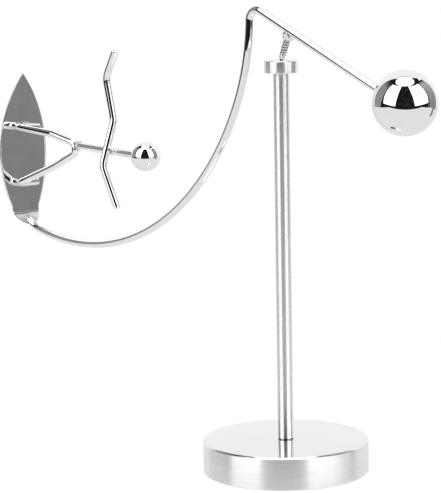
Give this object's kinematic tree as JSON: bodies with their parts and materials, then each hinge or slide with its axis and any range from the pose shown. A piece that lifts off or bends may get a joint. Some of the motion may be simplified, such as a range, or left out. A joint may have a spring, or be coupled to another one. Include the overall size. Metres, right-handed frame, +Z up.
{
  "type": "balancing desk toy",
  "caption": "Chrome wire surfer on a pointed board and a chrome ball at the ends of a long bent wire, balanced on one point on top of a column.",
  "frame": {"origin": "centre of the foot pad's underside, on the column's axis", "axes": "+X in the rocker's plane towards the counterweight ball, +Y across that plane away from the surfer's arms, +Z up along the column"},
  "size_m": [0.2986, 0.08, 0.2245],
  "materials": {
    "chrome_wire": "mirror chrome plate on steel",
    "chrome_sheet": "polished sheet, slightly rippled",
    "turned_aluminium": "fine-turned, clear",
    "zinc_steel": "bright zinc plate",
    "hard_steel": "ground, hardened",
    "solder": "dull silver solder",
    "black_rubber": "matte foam rubber"
  },
  "bodies": {
    "stand": {"foot_pad": "black_rubber", "base_disc": "turned_aluminium", "base_washer": "zinc_steel", "base_screw": "zinc_steel", "column": "turned_aluminium", "cap_stud": "hard_steel", "top_cap": "turned_aluminium"},
    "turning_seat": {"pivot_seat": "hard_steel"},
    "rocking_point": {"pivot_ball": "hard_steel"},
    "rocker": {"pivot_screw": "zinc_steel", "pivot_weld": "solder", "arm_wire": "chrome_wire", "counterweight_ball": "chrome_wire", "surfboard": "chrome_sheet", "tail_weld": "solder", "surfer_legs": "chrome_wire", "foot_welds": "solder", "surfer_torso": "chrome_wire", "hip_weld": "solder", "surfer_arms": "chrome_wire", "shoulder_weld": "solder", "surfer_head": "chrome_wire"}
  },
  "joints": [
    {"name": "spin", "type": "hinge", "parent": "stand", "child": "turning_seat", "pos_m": [0, 0, 0.19883], "axis": [0, 0, 1], "continuous": true},
    {"name": "rock", "type": "hinge", "parent": "turning_seat", "child": "rocking_point", "pos_m": [0, 0, 0.19883], "axis": [0, 1, 0], "range_deg": [-30, 25]},
    {"name": "roll", "type": "hinge", "parent": "rocking_point", "child": "rocker", "pos_m": [0, 0, 0.19883], "axis": [1, 0, 0], "range_deg": [-20, 20]}
  ]
}
